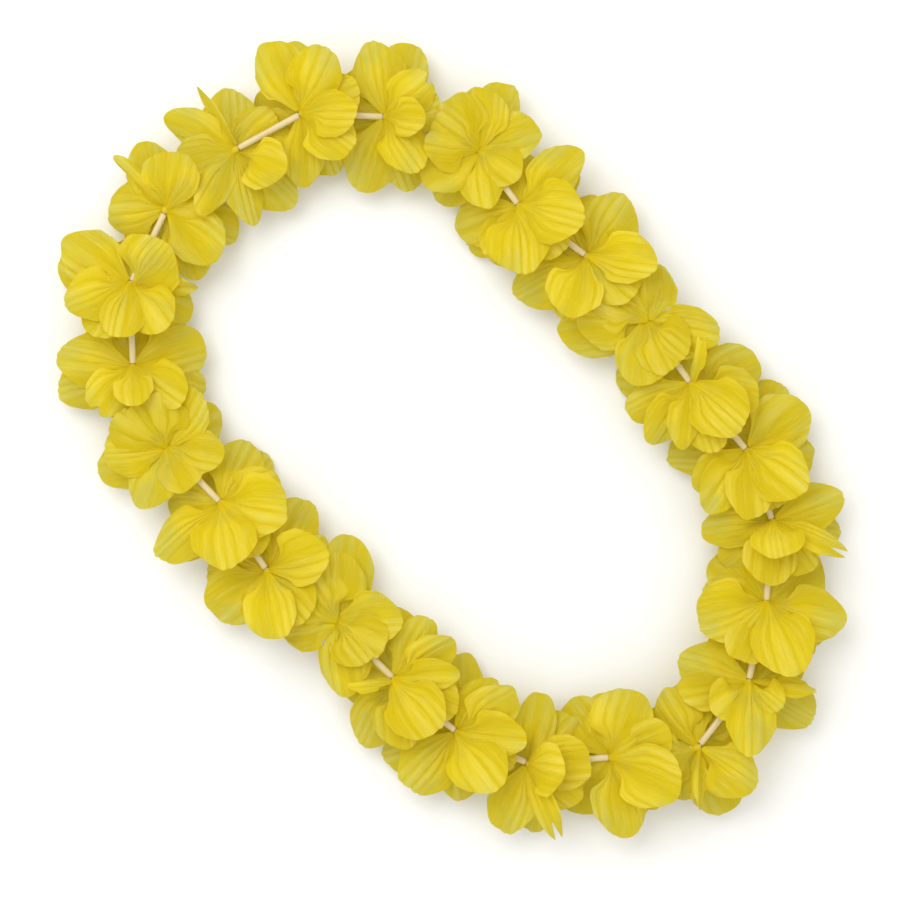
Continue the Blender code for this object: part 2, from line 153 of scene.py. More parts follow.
FORMS = {
    "pleated": (
        Petal(347, 40, 27, 2), Petal(35, 35, 27, 12), Petal(105, 29, 24, 14), Petal(140, 33, 25, 9),
        Petal(190, 37, 23, -1),
        Petal(356, 39, 27, -9), Petal(245, 30, 26, -18), Petal(300, 28, 26, RESTING), Petal(78, 30, 26, 7),
        Petal(168, 34, 26, -6),
    ),
    "pleated_covered": (
        Petal(339, 40, 29, 2), Petal(33, 33, 27, 12), Petal(92, 29, 24, 13), Petal(140, 31, 26, 11),
        Petal(187, 34, 12, 2, 20),
        Petal(354, 39, 27, -9), Petal(240, 29, 35, 9), Petal(300, 26, 26, RESTING), Petal(64, 31, 25, 8),
        Petal(168, 34, 26, -6),
    ),
    "ruffled": (
        Petal(185, 39, 30, -6), Petal(340, 38, 28, 0), Petal(40, 30, 24, 10, 0, 0.1), Petal(135, 33, 24, 10),
        Petal(86, 21, 20, 16),
        Petal(3, 41, 27, -9), Petal(149, 38, 25, -5), Petal(236, 32, 30, -9), Petal(298, 32, 30, -9),
        Petal(65, 27, 24, 8),
    ),
    "doubled_back": (
        Petal(208, 33, 26, 6), Petal(245, 27, 27, 9), Petal(272, 27, 24, 9), Petal(298, 30, 27, 9),
        Petal(331, 31, 27, 7),
        Petal(36, 33, 25, 5), Petal(88, 25, 25, 5), Petal(138, 30, 23, 6), Petal(182, 32, 26, -8),
        Petal(349, 38, 25, -4),
    ),
    "broad": (
        Petal(4, 42, 24, 4), Petal(60, 33, 33, 15), Petal(136, 35, 32, 12), Petal(205, 33, 30, -11),
        Petal(322, 27, 31, -9),
        Petal(190, 33, 26, -15), Petal(10, 35, 22, -4), Petal(275, 30, 28, RESTING), Petal(95, 31, 26, 6),
        Petal(165, 31, 26, -1),
    ),
    "open": (
        Petal(197, 41, 30, -5), Petal(353, 36, 31, -4), Petal(157, 33, 29, 14), Petal(54, 35, 26, 16),
        Petal(270, 30, 28, -10),
        Petal(225, 34, 28, -11), Petal(315, 33, 28, -10), Petal(88, 30, 27, 9), Petal(165, 33, 24, -3),
        Petal(40, 30, 25, 1),
    ),
    "bow": (
        Petal(219, 35, 28, 4), Petal(300, 29, 32, 5), Petal(316, 29, 26, 4), Petal(250, 29, 30, 4.5),
        Petal(211, 45, 28, -4),
        Petal(134, 33, 28, 6), Petal(78, 26, 24, 7), Petal(50, 38, 23, 4), Petal(60, 32, 26, 2),
        Petal(104, 28, 26, 7),
    ),
    "crested": (
        Petal(192, 36, 22, 0), Petal(163, 37, 21, 4, 12), Petal(138, 34, 17, 10, 10), Petal(81, 34, 31, 14),
        Petal(318, 24, 12, 14, 60, 0.12),
        Petal(16, 37, 28, -6), Petal(111, 34, 27, 7), Petal(227, 38, 30, -15), Petal(310, 30, 28, RESTING),
        Petal(48, 34, 26, 5),
    ),
    "domed": (
        Petal(351, 38, 31, -2), Petal(176, 33, 21, 3), Petal(155, 37, 24, 7), Petal(118, 35, 24, 11),
        Petal(69, 34, 31, 15),
        Petal(34, 34, 25, -5), Petal(211, 41, 24, -11), Petal(250, 32, 28, -17), Petal(323, 41, 28, -13),
        Petal(92, 31, 26, 5),
    ),
    "forked": (
        Petal(347, 37, 25, 1), Petal(178, 37, 21, -1), Petal(90, 18, 27, 18), Petal(31, 41, 15, 10, 35, 0.25),
        Petal(225, 32, 28, -14),
        Petal(103, 30, 28, 8), Petal(12, 35, 24, -9), Petal(290, 32, 28, RESTING), Petal(150, 32, 24, -4),
        Petal(60, 30, 24, 5),
    ),
    "spread": (
        Petal(7, 41, 28, 2), Petal(158, 37, 32, 8), Petal(61, 38, 32, 15), Petal(213, 35, 28, -9),
        Petal(317, 35, 30, -9),
        Petal(44, 36, 25, -1), Petal(110, 31, 28, 9), Petal(265, 32, 28, RESTING), Petal(182, 33, 26, -7),
        Petal(20, 34, 24, -6),
    ),
    "lobed": (
        Petal(170, 37, 29, 1), Petal(342, 35, 10, 6, 50, 0.1), Petal(4, 39, 27, -6), Petal(16, 20, 19, 10),
        Petal(65, 36, 25, 14),
        Petal(150, 35, 24, 3), Petal(225, 32, 28, -14), Petal(307, 34, 28, RESTING), Petal(115, 22, 24, 9),
        Petal(270, 30, 28, -18),
    ),
    "turned": (
        Petal(336, 34, 28, 6), Petal(4, 38, 28, -8), Petal(176, 34, 22, 0), Petal(29, 31, 10, 8, 45),
        Petal(192, 33, 24, -12),
        Petal(98, 24, 26, 9), Petal(235, 32, 28, -16), Petal(290, 32, 28, RESTING), Petal(48, 26, 24, 4),
        Petal(150, 31, 24, -1),
    ),
    "backward": (
        Petal(243, 28, 29, 15), Petal(187, 37, 11, 4, 45), Petal(5, 37, 28, 4), Petal(140, 31, 28, -8),
        Petal(340, 38, 25, -9),
        Petal(214, 38, 26, -8), Petal(22, 38, 24, -4), Petal(95, 26, 24, -10), Petal(285, 28, 26, 5),
        Petal(158, 28, 22, -13),
    ),
    "leafy": (
        Petal(300, 32, 25, -4), Petal(182, 36, 9, 6, 55), Petal(150, 40, 19, 4, 15), Petal(335, 28, 27, 9),
        Petal(352, 40, 28, -6),
        Petal(62, 37, 17, 8, 10), Petal(20, 39, 19, 3, 15), Petal(207, 33, 28, -12), Petal(112, 29, 26, 6),
        Petal(262, 29, 24, -5),
    ),
}

LOOP_FORMS = (
    "pleated", "ruffled", "doubled_back", "broad", "open", "bow",
    "crested", "domed", "forked", "spread", "lobed", "turned",
    "spread", "forked", "domed", "crested", "bow", "open",
    "broad", "doubled_back", "ruffled", "pleated_covered", "backward", "leafy",
)

print(sum(len(FORMS[name]) for name in LOOP_FORMS), "petals")

# %% [markdown]
# A pressed petal isn't ribbed evenly like a shell. The hot mould leaves a few creases that fan out from the
# middle, some close together and some far apart, with low round swells between them. One sine wave would
# look like corrugated iron, so the wave's own place across the petal is pushed about by two slower waves,
# and each swell gets its own height. A second, finer set of creases lies on the backs of the swells.

# %% Creases
CREASES = 5.4
CREASE_DEPTH = 1.0
CREASES_VARY = (0.8, 1.2)
USUAL_WIDTH = 28.0
FINE_CREASES = 2.3
FINE_SHARE = 0.35
FINE_SKEW = 0.1
PUSH, PUSH_RATE = 0.16, 2.3
SMALL_PUSH, SMALL_PUSH_RATE = 0.07, 5.1
SWELL_HEIGHT, SWELL_CHANGE, SWELL_RATE = 0.55, 0.45, 3.3
ANY_SHIFT = (0.0, 2.0)


def swells_and_creases(place):
    """Round swells from 0 to 1, each two units of place wide, with a sharp crease between them."""
    return np.abs(np.sin(0.5 * np.pi * place))


def pressed_folds(v, width, draw):
    """Height of the folds across a petal, from 0 in a sharp crease to 1 on the highest round swell."""
    swells = CREASES * width / USUAL_WIDTH * draw.uniform(*CREASES_VARY)
    first, second, third = (draw.uniform(0.0, 2.0 * np.pi) for _ in range(3))
    pushed = v + PUSH * np.sin(PUSH_RATE * v + first) + SMALL_PUSH * np.sin(SMALL_PUSH_RATE * v + second)
    height = SWELL_HEIGHT + SWELL_CHANGE * np.sin(SWELL_RATE * v + third)
    coarse = swells_and_creases(swells * pushed + draw.uniform(*ANY_SHIFT))
    skewed = pushed + FINE_SKEW * v * v
    fine = swells_and_creases(FINE_CREASES * swells * skewed + draw.uniform(*ANY_SHIFT))
    return coarse * height * (1.0 - FINE_SHARE * (1.0 - fine))


# %% [markdown]
# The sheet's own curve comes first. `u` runs from the root to the rim and `v` across the petal from -1
# to 1. A raised petal bends over like a fishing rod: the pressed cloth leaves the middle steeply and then
# levels out. A low one is held out level by the gathered middle and then droops. All of it is worked out
# for a whole grid of points at once, which numpy does quickly.

# %% The petal's middle line
ROOT_RADIUS = 1.9
ARCH = 1.7
DROOP = 1.6


def middle_line(petal, u):
    """Points (right, lean, up) from the petal's root on the gathered middle to its tip, in millimetres."""
    turn = math.radians(petal.turn)
    side_up = 1.0 if petal.rise > 0 else -1.0
    root = ROOT_RADIUS * np.array((math.cos(turn), 0.0, side_up * abs(math.sin(turn))))
    run = np.array((petal.reach * math.cos(turn), petal.reach * math.sin(turn), petal.rise)) - root
    line = root + run * u[..., None]
    bent = 1.0 - np.maximum(0.0, 1.0 - u) ** ARCH if petal.rise > 0 else u ** DROOP
    line[..., 2] = root[2] + run[2] * bent
    return line


# %% [markdown]
# The five petals of a layer aren't five pieces. They are lobes of one stamped piece, parted by slits that
# stop well short of the middle. So the inner part of each petal is spread towards its neighbours: its side
# edges lie half way round to theirs, where they meet without a gap. Further out each lobe takes its own
# form. Only where two petals are far apart, as on the side that a straw comes in, is the edge free.

# %% The joined part
ROOT_HALF_WIDTH = 2.4
SHOULDER = 0.72
NEAREST = 0.5


def own_half_width(petal, u):
    """Half the petal's width, from the root to the rim, as if it had no neighbours."""
    share = np.sin(0.5 * np.pi * np.minimum(1.0, u / SHOULDER))
    return ROOT_HALF_WIDTH + (petal.width / 2 - ROOT_HALF_WIDTH) * share


def distance(points):
    """How far each point is from the blossom's middle."""
    return np.linalg.norm(points, axis=-1, keepdims=True)


def fanned(first, second, share):
    """The place that far from the first line round to the second, about the blossom's middle."""
    chord = first + (second - first) * share[..., None]
    far = distance(first) + (distance(second) - distance(first)) * share[..., None]
    return chord * far / np.maximum(distance(chord), NEAREST)


def inner_sheet(petal, before, after, u, v, across):
    """The joined part: each side reaches half way round to the neighbour on that side, if there is one."""
    line = middle_line(petal, u)
    sheet = line + across * (v * own_half_width(petal, u))[..., None]
    for neighbour, side in ((before, v < 0.0), (after, v > 0.0)):
        if neighbour is not None:
            spread = fanned(line, middle_line(neighbour, u), 0.5 * np.abs(v))
            sheet = np.where(side[..., None], spread, sheet)
    return sheet


# %% [markdown]
# The rim is a round arch, flatter on a wide lobe than on a narrow one. It is drawn in a little where a
# crease meets it, and it is a little uneven, because the cloth is pressed after it is stamped. Off the
# plain curve the cloth stands up in its folds and in one slow wave along the rim. The folds begin at the
# root, have their full depth before half way, and get shallower near the rim.

# %% The rim and the folds
EDGE_ROUND = 0.36
EDGE_POWER = 2.4
NARROW_EDGE_POWER = 1.6
NOTCH_SPAN = 0.3
RIM_DRAWN_IN = 0.022
RIM_UNEVEN = 0.022
UNEVEN_RATE = (0.8, 1.8)
RIM_WAVE = 0.85
WAVES_VARY = (0.5, 1.3)
WAVE_RATE = (0.9, 1.7)
FOLDS_VARY = (0.7, 1.3)
FOLD_START = 2.2
FOLD_FADE = 0.62
FOLD_LEVEL = 0.4
CAMBER = 1.5


def slow_wave(v, rate, draw):
    """A wave across the petal, at a rate from that range and from any start."""
    return np.sin(np.pi * (draw.uniform(*rate) * v + draw.uniform(*ANY_SHIFT)))


def rim_reach(petal, v, folds, fullness, draw):
    """How far the rim reaches at each place across the petal, as a share of its middle line."""
    power = NARROW_EDGE_POWER + (EDGE_POWER - NARROW_EDGE_POWER) * fullness
    rim = 1.0 - EDGE_ROUND * np.abs(v) ** power
    rim = rim - petal.notch * (0.5 + 0.5 * np.cos(np.pi * np.minimum(1.0, np.abs(v) / NOTCH_SPAN)))
    rim = rim - RIM_DRAWN_IN * (1.0 - folds) * fullness
    return rim + RIM_UNEVEN * fullness * slow_wave(v, UNEVEN_RATE, draw)


def off_the_curve(u, v, folds, draw):
    """How far the cloth stands off the plain curve, in millimetres."""
    wave = RIM_WAVE * draw.uniform(*WAVES_VARY) * u ** 3 * slow_wave(v, WAVE_RATE, draw)
    depth = CREASE_DEPTH * draw.uniform(*FOLDS_VARY) * np.minimum(1.0, FOLD_START * u)
    fold = depth * (1.0 - FOLD_FADE * u ** 3) * (folds - FOLD_LEVEL)
    return fold + wave - CAMBER * u * v * v


# %% The petal's sheet
NARROW = 12.0
JOINED = 0.16
LOOSE = 0.5


def petal_sheet(petal, before, after, u, v, draw):
    """Points (right, lean, up) of the petal's middle surface in millimetres, and its folds from 0 to 1."""
    turn, roll = math.radians(petal.turn), math.radians(petal.roll)
    across = np.array((-math.sin(turn) * math.cos(roll), math.cos(turn) * math.cos(roll), math.sin(roll)))
    face = np.array((math.sin(turn) * math.sin(roll), -math.cos(turn) * math.sin(roll), math.cos(roll)))
    folds = pressed_folds(v, petal.width, draw)
    fullness = min(1.0, max(0.0, petal.width / NARROW - 1.0))
    rim = rim_reach(petal, v, folds, fullness, draw)
    outer = middle_line(petal, u * rim) + across * (v * own_half_width(petal, u))[..., None]
    inner = inner_sheet(petal, before, after, u, v, across)
    freed = np.clip((u - JOINED) / (LOOSE - JOINED), 0.0, 1.0)
    freed = freed * freed * (3.0 - 2.0 * freed)
    lift = off_the_curve(u, v, folds, draw) * (freed + (1.0 - freed) * (1.0 - v * v))
    return inner + (outer - inner) * freed[..., None] + face * lift[..., None], folds


# %% [markdown]
# Cloth has two sides and an edge. A grid of points with faces on it would be a sheet with no thickness,
# which a printer or a game engine can't use, so the grid is doubled: one copy a hair above the middle
# surface, one a hair below, and a narrow strip round the rim that joins them. The rows lie a little closer
# together towards the rim, where more goes on.

# %% From a grid to closed cloth
ROWS, COLUMNS = 19, 45
ROW_CROWDING = 0.9
CLOTH = 0.16
TINY = 1e-9

rows_at = np.linspace(0.0, 1.0, ROWS) ** ROW_CROWDING
U, V = np.meshgrid(rows_at, np.linspace(-1.0, 1.0, COLUMNS), indexing="ij")


def grid_faces(rows, columns):
    """Quads of one side of a grid, and the indices round its edge."""
    start = (np.arange(rows - 1)[:, None] * columns + np.arange(columns - 1)).ravel()
    quads = np.stack((start, start + columns, start + columns + 1, start + 1), axis=1)
    first, last = np.arange(columns), np.arange(columns) + (rows - 1) * columns
    left, right = np.arange(rows) * columns, np.arange(rows) * columns + columns - 1
    edge = np.concatenate((first[:-1], right[:-1], last[:0:-1], left[:0:-1]))
    return quads, edge


QUADS, EDGE = grid_faces(ROWS, COLUMNS)


def closed_cloth(points, thick):
    """(points, faces) of a grid of points made into thin closed cloth."""
    along = np.gradient(points, axis=0)
    across = np.gradient(points, axis=1)
    normal = np.cross(across, along)
    normal /= np.maximum(np.linalg.norm(normal, axis=2, keepdims=True), TINY)
    flat = points.reshape(-1, 3)
    offset = normal.reshape(-1, 3) * (thick / 2)
    shift = len(flat)
    after = np.roll(EDGE, -1)
    walls = np.stack((EDGE, after, after + shift, EDGE + shift), axis=1)
    faces = np.concatenate((QUADS[:, ::-1], QUADS + shift, walls[:, ::-1]))
    return np.concatenate((flat + offset, flat - offset)), faces


print(ROWS * COLUMNS, "points on each side of a petal")

# %% [markdown]
# ## One blossom
#
# On the real lei the string runs through the middle of the blossom, and the whole bloom leans along it like
# an umbrella pushed half shut. So a blossom has axes of its own: `lean` along the string and `right` across
# it. On both sides of the loop the blossoms lean away from its top. Blossoms 13 to 22, on the way back up,
# are mirrored, and 23 and 24 have forms of their own.
#
# The upper layer sits a little back along the string from the lower one. In four blossoms it is folded
# back the other way: there it starts in front of the middle and lies over it, so that its edge draws a
# line across the bloom. Petals that would dip under the table lie on it instead.

# %% A petal's place
UPPER, LOWER = 0.5, -0.5
LAYER_STEP = 2.2
LAYER_DROP = 0.8
FOLDED_BACK = ("doubled_back", "bow")
FOLD_STEP = 1.2
LAST_CLOCKWISE = 12
LAST_MIRRORED = 22


def unit(vector):
    return vector / np.linalg.norm(vector)


def string_way(i):
    """The string's direction through blossom i, clockwise."""
    return unit(middles[(i + 1) % count] - middles[i - 1])


def blossom_axes(i):
    """The two level axes of blossom i: across the string, and along it in the way that it leans."""
    lean = string_way(i)
    if i >= LAST_CLOCKWISE:
        lean = -lean
    return np.array((-lean[1], lean[0], 0.0)), lean


def place_petal(points, i, layer):
    """Points of a blossom's own axes, in the model's."""
    right, lean = blossom_axes(i)
    mirror = -1.0 if LAST_CLOCKWISE <= i < LAST_MIRRORED else 1.0
    folded_back = layer == UPPER and LOOP_FORMS[i] in FOLDED_BACK
    step = FOLD_STEP if folded_back else -layer * LAYER_STEP
    placed = (
        middles[i]
        + points[..., 0:1] * (right * mirror)
        + (points[..., 1:2] + step) * lean
        + np.array((0.0, 0.0, 1.0)) * (points[..., 2:3] + layer * LAYER_DROP)
    )
    placed[..., 2] = np.maximum(placed[..., 2], CLOTH / 2)
    return placed


# %% [markdown]
# Blender keeps a mesh apart from the object that shows it. The mesh has the points and faces, and it can
# carry numbers at its points, called attributes, which a finish reads by name. Faces that turn only a little
# from one to the next are shaded as one smooth surface, and sharper corners stay sharp.

# %% Mesh objects
CORNER_DEG = 50.0


def mesh_object(name, points, faces, finish, measures=None):
    """A smooth mesh object from points in millimetres, with numbers for its finish at each point."""
    mesh = bpy.data.meshes.new(name)
    mesh.from_pydata((points * MM).tolist(), [], faces.tolist())
    for label, values in (measures or {}).items():
        mesh.attributes.new(label, "FLOAT", "POINT").data.foreach_set("value", values.astype(np.float32))
    mesh.materials.append(finish)
    mesh.shade_smooth()
    mesh.set_sharp_from_angle(angle=math.radians(CORNER_DEG))
    made = bpy.data.objects.new(name, mesh)
    bpy.context.scene.collection.objects.link(made)
    return made


# %% [markdown]
# Now the ten sheets of each blossom. A petal's neighbours are the next ones of its own layer, on either
# side. The small differences between petals are drawn at random, but from a generator with a fixed start
# for each blossom, so that the lei comes out the same each time.

# %% The sheets of each blossom
PETALS_A_LAYER = 5
FARTHEST_NEIGHBOUR_DEG = 100.0
FIRST_SEED = 100


def neighbours(petal, lobes):
    """The petals of the same layer on either side, or None where the next one is far off."""
    others = [other for other in lobes if other is not petal]
    before = min(others, key=lambda other: (petal.turn - other.turn) % 360.0)
    after = min(others, key=lambda other: (other.turn - petal.turn) % 360.0)
    return (
        before if (petal.turn - before.turn) % 360.0 < FARTHEST_NEIGHBOUR_DEG else None,
        after if (after.turn - petal.turn) % 360.0 < FARTHEST_NEIGHBOUR_DEG else None,
    )


def blossom_sheets(i):
    """The ten sheets of blossom i, each with its folds and its own tint."""
    draw = random.Random(FIRST_SEED + i)
    petals = FORMS[LOOP_FORMS[i]]
    sheets = []
    for layer, lobes in ((UPPER, petals[:PETALS_A_LAYER]), (LOWER, petals[PETALS_A_LAYER:])):
        for petal in lobes:
            before, after = neighbours(petal, lobes)
            sheet, folds = petal_sheet(petal, before, after, U, V, draw)
            sheets.append((place_petal(sheet, i, layer), folds, draw.random()))
    return sheets


loop_sheets = [blossom_sheets(i) for i in range(count)]
print(sum(len(sheets) for sheets in loop_sheets), "sheets of cloth")

# %% [markdown]
# ## How many layers lie together
#
# Cloth this thin looks different where it lies alone. One layer is pale and a little grey, because light
# leaves it at the back and the shade behind shows through. Two or three together are a full, warm yellow.
# Here both are painted into the colour: a painted see-through shade where a layer lies alone, and a painted
# fuller yellow where layers stack. A camera trick could do that, but it would slide about as the view moves.
# So the layers are counted once, from above: the table is divided in small squares, each petal marks the
# squares that it covers, and each point of a petal reads its square.

# %% Count the layers
SQUARE = 2.0
MAP_MARGIN = 10.0
map_corner = np.array(solid_box[0][:2]) / MM - MAP_MARGIN
map_shape = tuple(int((high - low) / MM / SQUARE + 2 * MAP_MARGIN / SQUARE) + 1
                  for low, high in zip(solid_box[0][:2], solid_box[1][:2]))


def squares(points):
    """The row and column of the square under each point."""
    return tuple(((points[..., k] - map_corner[k]) / SQUARE).astype(int) for k in (0, 1))


def softened(grid):
    """Each square's mean with its neighbours, so that the edges aren't stepped."""
    wide = np.pad(grid, 1, mode="edge")
    rows, columns = grid.shape
    return sum(wide[a:a + rows, b:b + columns] for a in range(3) for b in range(3)) / 9.0


layers = np.zeros(map_shape)
for sheets in loop_sheets:
    for sheet, _, _ in sheets:
        covered = np.zeros(map_shape, dtype=bool)
        covered[squares(sheet)] = True
        layers += covered
layers = softened(layers)
print("up to", round(float(layers.max()), 1), "layers lie together")

# %% [markdown]
# ## The gathered middle
#
# The middle of each blossom, where ten petal roots meet round the string, is a small gathered knob of the
# same cloth. One of Blender's ready-made balls would have no hole for the string and no gathers. So a short
# section is turned about the string's line, as on a potter's wheel, and its radius goes in and out with the
# gathers. The straws are turned in the same way further on.

# %% Gathered middle
KNOB = ((1.85, 0.9), (1.9, 1.4), (1.5, 1.75), (0.7, 1.9), (0.0, 1.95))
KNOB_SIDES = 60
KNOB_GATHERS = 10
KNOB_DEPTH = 0.09


def ring_faces(rings, sides):
    """Quads from each ring of points to the next, and from the last ring back to the first."""
    here = np.arange(rings)[:, None] * sides + np.arange(sides)
    beside = np.roll(here, -1, axis=1)
    corners = (here, beside, np.roll(beside, -1, axis=0), np.roll(here, -1, axis=0))
    return np.stack(corners, axis=2).reshape(-1, 4)


def turned_about(section, start, along, sides, gathers=None):
    """(points, faces) of a closed section of (place along, radius) pairs, turned about a line."""
    right = np.array((-along[1], along[0], 0.0))
    up = np.array((0.0, 0.0, 1.0))
    angle = 2.0 * np.pi * np.arange(sides) / sides
    spoke = np.cos(angle)[:, None] * right + np.sin(angle)[:, None] * up
    section = np.array(section)
    radius = np.repeat(section[:, 1:2], sides, axis=1)
    if gathers is not None:
        radius = radius * gathers(angle)[None]
    points = start + section[:, None, 0:1] * along + radius[..., None] * spoke[None]
    return points.reshape(-1, 3), ring_faces(len(section), sides)


def knob_gathers(angle):
    """How much of its full radius the middle has, at each angle round it."""
    return 1.0 - KNOB_DEPTH * (1.0 - np.abs(np.sin(KNOB_GATHERS / 2 * angle)))


def knob_shell(i):
    """(points, faces) of the gathered middle of blossom i."""
    section = list(KNOB) + [(-x, r) for x, r in reversed(KNOB[:-1])]
    _, lean = blossom_axes(i)
    return turned_about(section, middles[i], lean, KNOB_SIDES, knob_gathers)


# %% [markdown]
# ## One mesh for each blossom
#
# The ten sheets and the middle become one mesh. Its colours could be painted in a picture and laid on it by a
# UV map. Numbers at its points need no picture, so each point carries five for the finish instead: how far
# it is `along` its petal and `across` it, how high on a `ridge` it is, the petal's own `tint`, and its
# `backing`, the share of painted light from the layers: 0 where the cloth lies alone and takes a
# painted see-through shade, 1 where two layers or more lie with it and it takes a painted fuller yellow.

# %% Blossom mesh
# How many layers more than one give the full painted yellow of stacked cloth, with no painted lone-layer
# shade.
LAYERS_FOR_FULL_PAINTED_STACK_LIGHT = 2.0
KNOB_ALONG = 0.4
KNOB_TINT = 0.5


def petal_part(sheet, folds, tint):
    """One petal as closed cloth: its points, its faces and the numbers at its points."""
    points, faces = closed_cloth(sheet, CLOTH)
    # Painted light from the layer count: 0 for a painted see-through shade where the cloth lies alone, 1 for
    # a painted fuller yellow where two more layers lie with it.
    backing = np.clip((layers[squares(sheet)] - 1.0) / LAYERS_FOR_FULL_PAINTED_STACK_LIGHT, 0.0, 1.0)
    grids = {"along": U, "across": V, "ridge": folds, "tint": np.full(U.shape, tint), "backing": backing}
    return points, faces, {label: np.tile(grid.ravel(), 2) for label, grid in grids.items()}


def middle_part(i):
    """The gathered middle of blossom i, in the same three parts."""
    points, faces = knob_shell(i)
    size = len(points)
    # The middle gets no painted crease shade, some painted swell highlight, and the painted fuller yellow of
    # stacked layers.
    return points, faces, {
        "along": np.full(size, KNOB_ALONG), "across": np.arange(size) % KNOB_SIDES / KNOB_SIDES,
        "ridge": np.ones(size), "tint": np.full(size, KNOB_TINT), "backing": np.ones(size),
    }


def blossom_mesh(name, i, finish):
    """All of blossom i as one mesh object."""
    parts = [petal_part(*sheet) for sheet in loop_sheets[i]] + [middle_part(i)]
    starts = np.cumsum([0] + [len(points) for points, _, _ in parts])
    points = np.concatenate([points for points, _, _ in parts])
    faces = np.concatenate([faces + start for (_, faces, _), start in zip(parts, starts)])
    measures = {label: np.concatenate([part[2][label] for part in parts]) for label in parts[0][2]}
    return mesh_object(name, points, faces, finish, measures)


# %% [markdown]
# ## A short way to write shaders
#
# Blender builds a finish out of nodes. Wiring them one by one takes many lines and hides the idea. Here a
# small class wraps a socket, so that a plain Python sum such as `1 - mask` adds the Math node for it.


# %% Wires
class Wire:
    """A node's output, on which Python's operators build Math nodes."""

    def __init__(self, finish, socket):
        self.finish = finish
        self.socket = socket

    def maths(self, operation, first, second):
        return self.finish.node("ShaderNodeMath", {"operation": operation}, {0: first, 1: second})

    def __add__(self, other):
        return self.maths("ADD", self, other)

    def __radd__(self, other):
        return self.maths("ADD", other, self)

    def __sub__(self, other):
        return self.maths("SUBTRACT", self, other)

    def __rsub__(self, other):
        return self.maths("SUBTRACT", other, self)

    def __mul__(self, other):
        return self.maths("MULTIPLY", self, other)

    def __rmul__(self, other):
        return self.maths("MULTIPLY", other, self)


# %% [markdown]
# Every other node comes from one method, which takes the node's type, its settings, and what goes into each
# socket. The nodes that this lesson needs often have a short method of their own on top of it.


# %% Finishes
class Finish:
    """A material, built up node by node."""

    def __init__(self, name):
        self.material = bpy.data.materials.new(name)
        self.material.use_nodes = True
        self.tree = self.material.node_tree
        self.tree.nodes.clear()

    def node(self, kind, settings=None, sockets=None, output=0):
        made = self.tree.nodes.new(kind)
        for name, value in (settings or {}).items():
            setattr(made, name, value)
        for name, value in (sockets or {}).items():
            if isinstance(value, Wire):
                self.tree.links.new(value.socket, made.inputs[name])
            else:
                made.inputs[name].default_value = value
        return None if output is None else Wire(self, made.outputs[output])

    def measure(self, name):
        """A number that the mesh carries at each of its points."""
        return self.node("ShaderNodeAttribute", {"attribute_name": name}, output="Fac")

    def between(self, first, second, share):
        """Two colours mixed, with share of the second."""
        return self.node("ShaderNodeMix", {"data_type": "RGBA"}, {0: share, 6: first, 7: second}, 2)

    def point(self, x, y, z):
        return self.node("ShaderNodeCombineXYZ", sockets={0: x, 1: y, 2: z})

    def noise(self, at, scale, detail=2.0, roughness=0.5):
        return self.node("ShaderNodeTexNoise", sockets={
            "Vector": at, "Scale": scale, "Detail": detail, "Roughness": roughness,
        })

    def bump(self, height, distance, strength=1.0):
        return self.node("ShaderNodeBump", sockets={
            "Height": height, "Distance": distance, "Strength": strength,
        })

    def surface(self, shader):
        """The finished material, showing this shader."""
        self.node("ShaderNodeOutputMaterial", sockets={"Surface": shader}, output=None)
        return self.material


# %% [markdown]
# A colour picked from a photograph is written as a screen shows it. Shaders count in linear light, where
# half the number is half the light, so each colour is turned into that first.


# %% Colours
def srgb(red, green, blue):
    """A colour as picked from a screen, 0 to 255, in the linear numbers that shaders use."""
    def linear(value):
        value = value / 255.0
        return value / 12.92 if value <= 0.04045 else ((value + 0.055) / 1.055) ** 2.4
    return (linear(red), linear(green), linear(blue), 1.0)


# %% [markdown]
# ## Petal cloth
#
# The cloth is thin and dyed right through, so light does two things to it: some comes back off the face, and
# some goes through and lights the other side. A Principled shader does the first and a Translucent shader
# the second. The dye is deeper at the middle. The creases are darker, from deeper dye and from painted shade,
# and the backs of the swells get a painted highlight. Fine streaks run from the middle to the rim: the weave
# drawn out along the petal, with painted light and shade of fine creases in it. A layer that lies alone gets
# a painted see-through shade, and layers that stack get a painted fuller yellow.

# %% Petal cloth
LEMON = srgb(242, 229, 46)
# Deep dye of the middle, also the painted fuller yellow where layers stack.
DEEP_DYE_AND_PAINTED_STACK_LIGHT = srgb(244, 216, 2)
# Deeper dye with painted shade, for the creases and the dark streaks.
DARK_DYE_AND_PAINTED_SHADE = srgb(212, 190, 6)
# Painted see-through shade of cloth that lies alone.
PAINTED_LONE_LAYER_SHADE = srgb(191, 186, 84)
# Painted highlight on the swells; also the pale streaks.
PALE_WEAVE_AND_PAINTED_HIGHLIGHT = srgb(244, 237, 150)
GLOW = srgb(253, 244, 44)

# Rates of the fine streaks: the weave, with painted light and shade of fine creases.
STREAK_RATES = (26.0, 2.5, 40.0)
CLOUD_RATES = (1.6, 1.8, 60.0)
DEEP_AT_MIDDLE = 0.5
# Painted fuller yellow where layers stack.
PAINTED_DEPTH_WHERE_STACKED = 0.35
DEEP_BY_PETAL = 0.15
# How much the painted lone-layer shade follows the layer count, and how much it grows towards the rim.
PAINTED_STACK_LIGHT_SHARE = 0.75
# Painted highlight on the backs of the swells.
PAINTED_HIGHLIGHT_ON_SWELLS = 0.6
# Darker creases: deeper dye and painted shade.
CREASE_DYE_AND_PAINTED_SHADE = 0.75
# Fine streaks: the weave, with painted shade of fine creases in the dark ones and painted light in the pale
# ones.
DARK_STREAKS_AND_PAINTED_SHADE, DARK_BELOW = 2.1, 0.5
PALE_STREAKS_AND_PAINTED_LIGHT, PALE_ABOVE = 1.7, 0.53
PETAL_GLOW = 0.45


